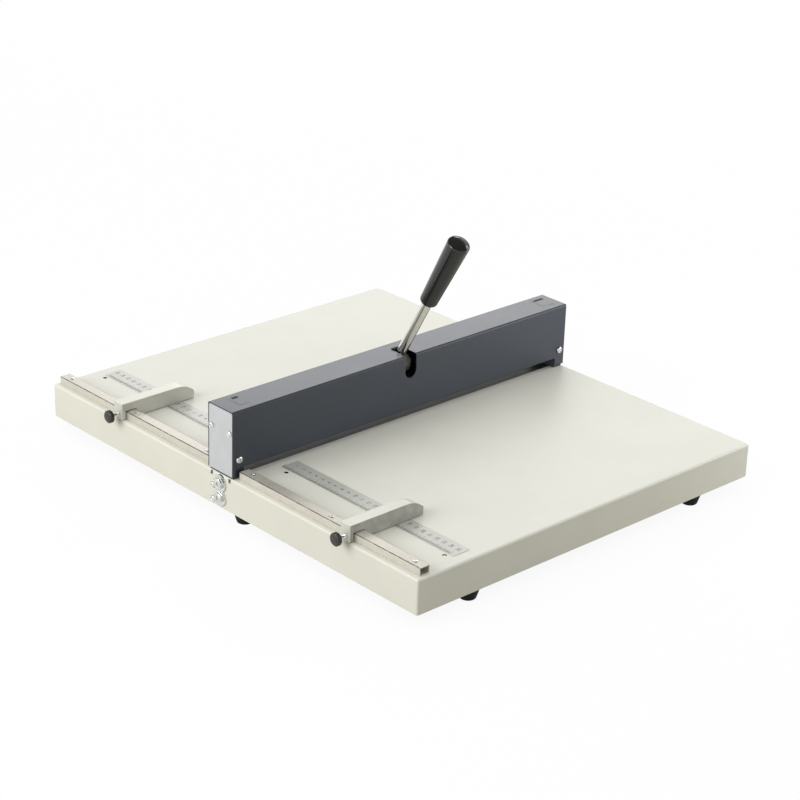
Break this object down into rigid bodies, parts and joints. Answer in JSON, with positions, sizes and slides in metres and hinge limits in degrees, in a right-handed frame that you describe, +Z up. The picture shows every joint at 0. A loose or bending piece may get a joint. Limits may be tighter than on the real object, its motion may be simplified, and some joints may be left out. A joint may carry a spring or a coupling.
{
  "type": "desktop paper creasing machine",
  "caption": "Desktop paper creasing machine: flat table, covered bridge with a hand lever that presses a crease blade into a die, and sliding side stops",
  "frame": {"origin": "On the surface that the feet stand on, below the middle of the table and of the bridge", "axes": "X along the bridge to the operator's right, Y across the table away from the operator, Z up"},
  "size_m": [0.508, 0.594, 0.276],
  "materials": {
    "table_paint": "fine satin powder coat, warm off-white",
    "cover_paint": "dark blue-grey metallic stove enamel",
    "plate_metal": "satin plated sheet, left unpainted",
    "black_rubber": "moulded black rubber",
    "black_plastic": "glossy black moulding",
    "zinc_steel": "bright zinc plating",
    "black_steel": "black oxide",
    "chrome_steel": "polished chrome plating",
    "nickel_steel": "bright nickel plating",
    "bright_steel": "ground bright steel",
    "bed_iron": "grey iron, primed, machined on top",
    "stop_alloy": "fettled matt aluminium casting",
    "rule_alloy": "satin anodised rule strip",
    "bush_bronze": "sintered bronze"
  },
  "bodies": {
    "base": {"table_tray": "table_paint", "front_stiffener": "table_paint", "rear_stiffener": "table_paint", "foot_screws": "zinc_steel", "foot_nuts": "zinc_steel", "bed_casting": "bed_iron", "front_die_strip": "black_steel", "rear_die_strip": "black_steel", "die_screws": "black_steel", "left_upright": "bed_iron", "right_upright": "bed_iron", "left_shaft_bush": "bush_bronze", "right_shaft_bush": "bush_bronze", "side_bolts": "zinc_steel", "side_washers": "zinc_steel", "bracket_screws": "zinc_steel", "bridge_cover": "cover_paint", "left_end_plate": "plate_metal", "right_end_plate": "plate_metal", "end_plate_screws": "zinc_steel", "cover_screws": "zinc_steel", "lever_bumper": "black_rubber", "return_springs": "bright_steel", "front_rail": "nickel_steel", "rear_rail": "nickel_steel", "rail_screws": "zinc_steel", "rail_nuts": "zinc_steel", "front_ruler": "rule_alloy", "rear_ruler": "rule_alloy", "foot_front_left": "black_rubber", "foot_front_right": "black_rubber", "foot_rear_left": "black_rubber", "foot_rear_right": "black_rubber", "foot_middle_left": "black_rubber", "foot_middle_right": "black_rubber"},
    "lever": {"camshaft": "bright_steel", "left_cam": "bright_steel", "right_cam": "bright_steel", "set_screws": "black_steel", "shaft_collars": "zinc_steel", "lever_hub": "nickel_steel", "hub_pins": "bright_steel", "lever_rod": "chrome_steel", "lever_grip": "black_plastic"},
    "press": {"press_bar": "bright_steel", "crease_blade": "bright_steel", "blade_clamp": "bright_steel", "blade_clamp_screws": "black_steel", "wear_pads": "bright_steel", "wear_pad_screws": "black_steel"},
    "front_stop": {"front_stop_fence": "stop_alloy"},
    "rear_stop": {"rear_stop_fence": "stop_alloy"},
    "front_clamp": {"front_clamp_screw": "zinc_steel", "front_clamp_knob": "black_plastic"},
    "rear_clamp": {"rear_clamp_screw": "zinc_steel", "rear_clamp_knob": "black_plastic"}
  },
  "joints": [
    {"name": "lever_pivot", "type": "hinge", "parent": "base", "child": "lever", "pos_m": [0, 0.0055, 0.1065], "axis": [1, 0, 0], "range_deg": [0, 60]},
    {"name": "press_slide", "type": "slide", "parent": "base", "child": "press", "axis": [0, 0, -1], "range_m": [0, 0.00578], "stiffness_N_per_m": 6000, "springref_m": -0.0133, "deforming": ["return_springs"]},
    {"name": "front_stop_slide", "type": "slide", "parent": "base", "child": "front_stop", "axis": [0, 1, 0], "range_m": [-0.085, 0.155]},
    {"name": "rear_stop_slide", "type": "slide", "parent": "base", "child": "rear_stop", "axis": [0, 1, 0], "range_m": [-0.143, 0.1]},
    {"name": "front_clamp_turn", "type": "hinge", "parent": "front_stop", "child": "front_clamp", "pos_m": [-0.2435, -0.193, 0.0558], "axis": [-1, 0, 0], "continuous": true},
    {"name": "rear_clamp_turn", "type": "hinge", "parent": "rear_stop", "child": "rear_clamp", "pos_m": [-0.2435, 0.176, 0.0558], "axis": [-1, 0, 0], "continuous": true}
  ],
  "couplings": [
    {"joint": "press_slide", "follows": "lever_pivot", "m_per_rad": 0.0055}
  ]
}
